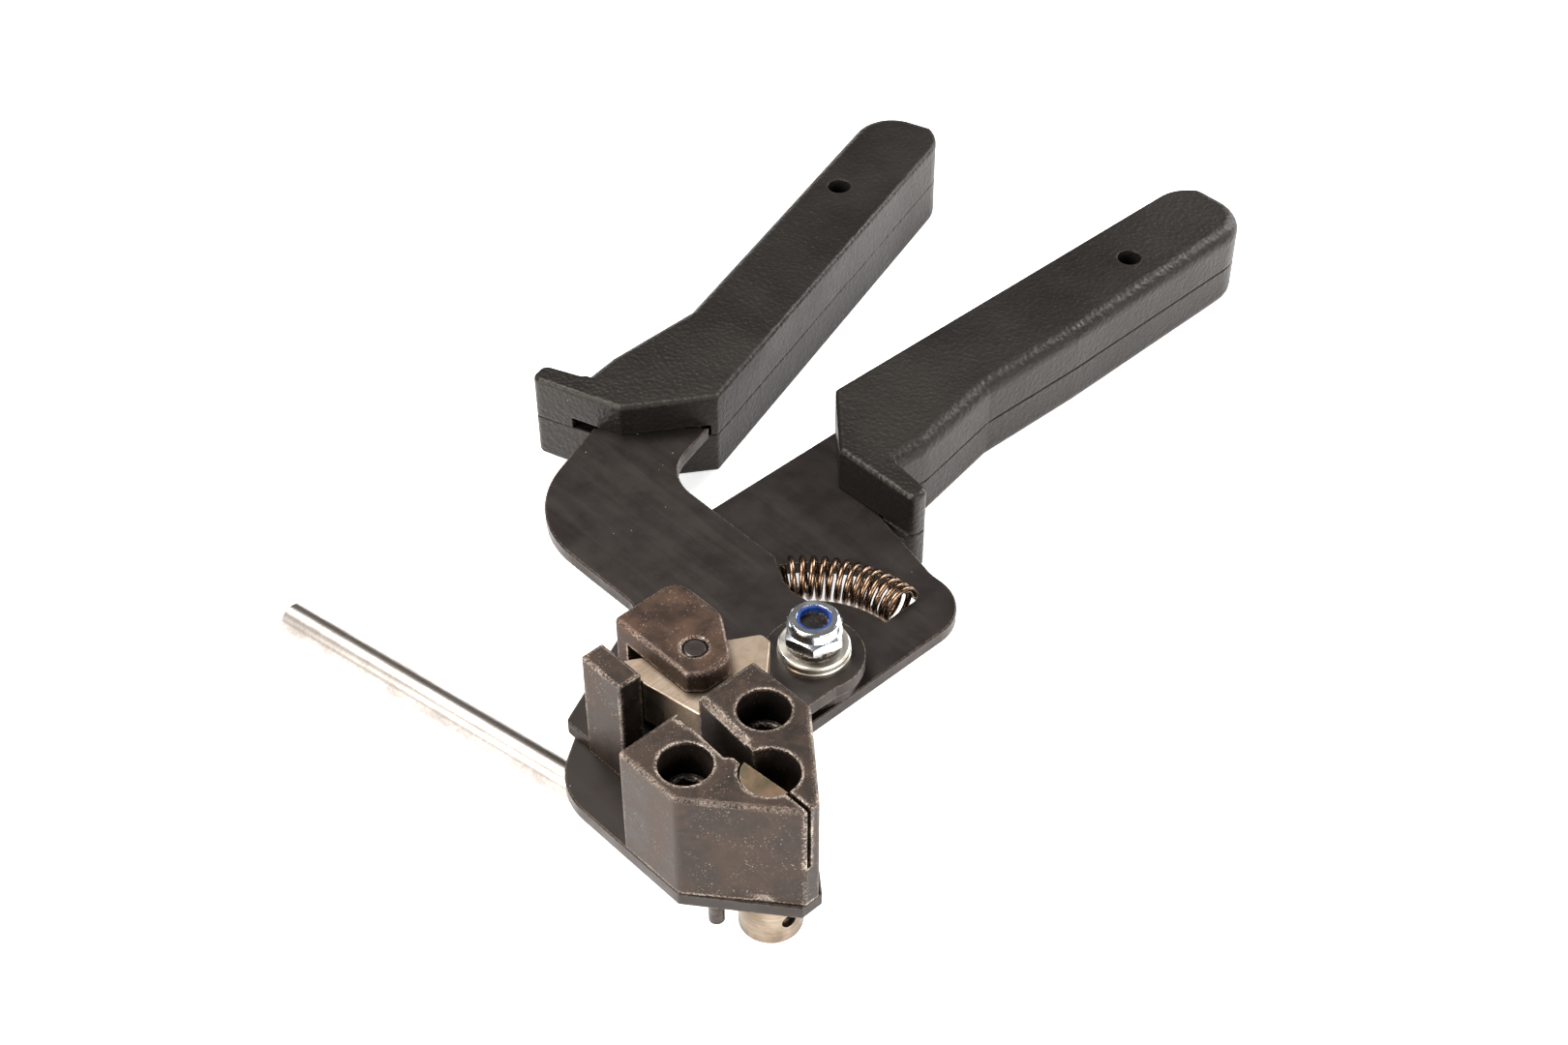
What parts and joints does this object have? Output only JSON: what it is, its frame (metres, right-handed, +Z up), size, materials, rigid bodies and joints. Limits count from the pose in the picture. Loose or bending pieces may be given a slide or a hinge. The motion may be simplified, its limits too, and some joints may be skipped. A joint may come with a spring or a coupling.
{
  "type": "steel strap tensioning and cutting tool",
  "caption": "Plier-like hand tool that pulls a steel cable tie tight with a toothed pawl and shears its tail with a rotary cutter turned by a tommy bar.",
  "frame": {"origin": "centre of the cutter spindle's foot, the lowest point of the tool", "axes": "+X along the fixed grip, +Y the way the strap is pulled, +Z up along the cutter spindle and the pivot bolt"},
  "size_m": [0.2198, 0.1499, 0.0388],
  "materials": {
    "plate_steel": "blackened satin steel plate with fine scuffs",
    "dark_tool_steel": "oil-blackened steel, worn pale along its edges",
    "bare_steel": "bare ground steel",
    "spindle_steel": "turned steel with a brown tint",
    "bar_steel": "bright drawn bar",
    "zinc": "bright zinc plate",
    "spring_steel": "oiled spring wire",
    "blue_nylon": "nylon insert",
    "grip_plastic": "pebble-grained black moulding"
  },
  "bodies": {
    "frame": {"base_plate": "plate_steel", "bridge_plate": "plate_steel", "bridge_spacer": "plate_steel", "head_block": "dark_tool_steel", "head_screws": "dark_tool_steel", "stop_pin": "bare_steel", "pivot_bolt": "dark_tool_steel", "pivot_bush": "bare_steel", "pivot_washers": "zinc", "lock_washer": "dark_tool_steel", "pivot_nut": "zinc", "nut_insert": "blue_nylon", "return_spring": "spring_steel", "fixed_grip_upper": "grip_plastic", "fixed_grip_lower": "grip_plastic"},
    "lever": {"lever_plate": "plate_steel", "anvil_post": "dark_tool_steel", "gripper_yoke": "dark_tool_steel", "yoke_screws": "dark_tool_steel", "gripper_pin": "bare_steel", "pawl_spring": "spring_steel", "lever_grip_upper": "grip_plastic", "lever_grip_lower": "grip_plastic"},
    "pawl": {"gripper_pawl": "bare_steel"},
    "cutter": {"cutter_spindle": "spindle_steel", "spindle_ring": "spring_steel", "tommy_bar": "bar_steel", "bar_lock_screw": "dark_tool_steel"}
  },
  "joints": [
    {"name": "lever_squeeze", "type": "hinge", "parent": "frame", "child": "lever", "pos_m": [0.0364, 0.0274, 0.0161], "axis": [0, 0, 1], "range_deg": [-16, 0], "stiffness_Nm_per_rad": 1.5, "springref_deg": 20.05, "deforming": ["return_spring"]},
    {"name": "pawl_turn", "type": "hinge", "parent": "lever", "child": "pawl", "pos_m": [0.0127, 0.0328, 0.025], "axis": [0, 0, 1], "range_deg": [-4, 20.5], "stiffness_Nm_per_rad": 0.05, "springref_deg": 28.65, "deforming": ["pawl_spring"]},
    {"name": "cutter_turn", "type": "hinge", "parent": "frame", "child": "cutter", "pos_m": [0, 0, 0.0044], "axis": [0, 0, 1], "range_deg": [-12, 34]}
  ]
}
